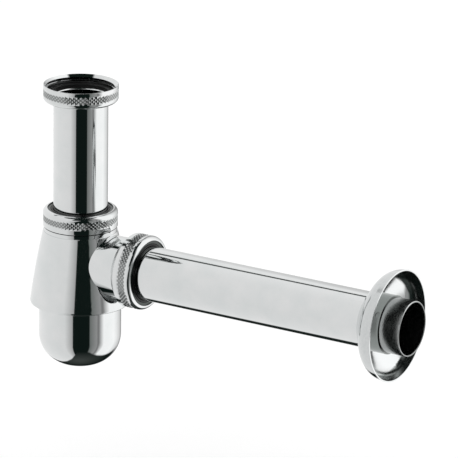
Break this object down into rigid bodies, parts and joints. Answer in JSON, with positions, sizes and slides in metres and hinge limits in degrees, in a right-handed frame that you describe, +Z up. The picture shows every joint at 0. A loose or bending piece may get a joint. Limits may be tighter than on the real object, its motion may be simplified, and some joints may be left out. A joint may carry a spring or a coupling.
{
  "type": "bidet trap",
  "caption": "Chromed bottle trap: inlet nut on a vertical dip tube, conical body with a round screw-on cup, and a horizontal outlet tube with a wall rosette.",
  "frame": {"origin": "centre of the inlet sealing face, on top of the inlet washer inside the inlet nut", "axes": "+Z up the inlet axis, +X along the outlet towards the wall"},
  "size_m": [0.2531, 0.0648, 0.1719],
  "materials": {
    "chrome": "polished chromium plate on brass",
    "rubber": "moulded black rubber",
    "black_plastic": "moulded black plastic"
  },
  "bodies": {
    "inlet": {"dip_tube": "chrome", "inlet_washer": "rubber"},
    "inlet_nut": {"inlet_nut": "chrome"},
    "body_seal": {"body_seal": "rubber"},
    "trap_body": {"trap_body": "chrome", "outlet_seal": "rubber"},
    "body_slip_ring": {"body_slip_ring": "black_plastic"},
    "body_nut": {"body_nut": "chrome"},
    "cup_seal": {"cup_seal": "rubber"},
    "cup": {"cup": "chrome"},
    "outlet_slip_ring": {"outlet_slip_ring": "black_plastic"},
    "outlet_nut": {"outlet_nut": "chrome"},
    "outlet_tube": {"outlet_tube": "chrome"},
    "wall_rosette": {"wall_rosette": "chrome"}
  },
  "joints": [
    {"name": "inlet_nut_turn", "type": "hinge", "parent": "inlet", "child": "inlet_nut", "pos_m": [0, 0, 0], "axis": [0, 0, 1], "continuous": true},
    {"name": "height_slide", "type": "slide", "parent": "inlet", "child": "body_seal", "axis": [0, 0, 1], "range_m": [-0.04, 0.008]},
    {"name": "outlet_swivel", "type": "hinge", "parent": "body_seal", "child": "trap_body", "pos_m": [0, 0, -0.1], "axis": [0, 0, 1], "continuous": true},
    {"name": "body_nut_travel", "type": "slide", "parent": "trap_body", "child": "body_slip_ring", "axis": [0, 0, 1], "range_m": [0, 0.004]},
    {"name": "body_nut_turn", "type": "hinge", "parent": "body_slip_ring", "child": "body_nut", "pos_m": [0, 0, -0.075], "axis": [0, 0, 1], "range_deg": [0, 600]},
    {"name": "cup_travel", "type": "slide", "parent": "trap_body", "child": "cup_seal", "axis": [0, 0, -1], "range_m": [0, 0.0094]},
    {"name": "cup_turn", "type": "hinge", "parent": "cup_seal", "child": "cup", "pos_m": [0, 0, -0.13], "axis": [0, 0, -1], "range_deg": [0, 1440]},
    {"name": "outlet_nut_travel", "type": "slide", "parent": "trap_body", "child": "outlet_slip_ring", "axis": [1, 0, 0], "range_m": [0, 0.004]},
    {"name": "outlet_nut_turn", "type": "hinge", "parent": "outlet_slip_ring", "child": "outlet_nut", "pos_m": [0.0436, 0, -0.1021], "axis": [1, 0, 0], "range_deg": [0, 600]},
    {"name": "outlet_tube_slide", "type": "slide", "parent": "trap_body", "child": "outlet_tube", "axis": [1, 0, 0], "range_m": [-0.008, 0.006]},
    {"name": "rosette_slide", "type": "slide", "parent": "outlet_tube", "child": "wall_rosette", "axis": [1, 0, 0], "range_m": [-0.12, 0.009]}
  ],
  "couplings": [
    {"joint": "body_nut_travel", "follows": "body_nut_turn", "m_per_rad": 0.00036749},
    {"joint": "cup_travel", "follows": "cup_turn", "m_per_rad": 0.00036749},
    {"joint": "outlet_nut_travel", "follows": "outlet_nut_turn", "m_per_rad": 0.00036749}
  ]
}
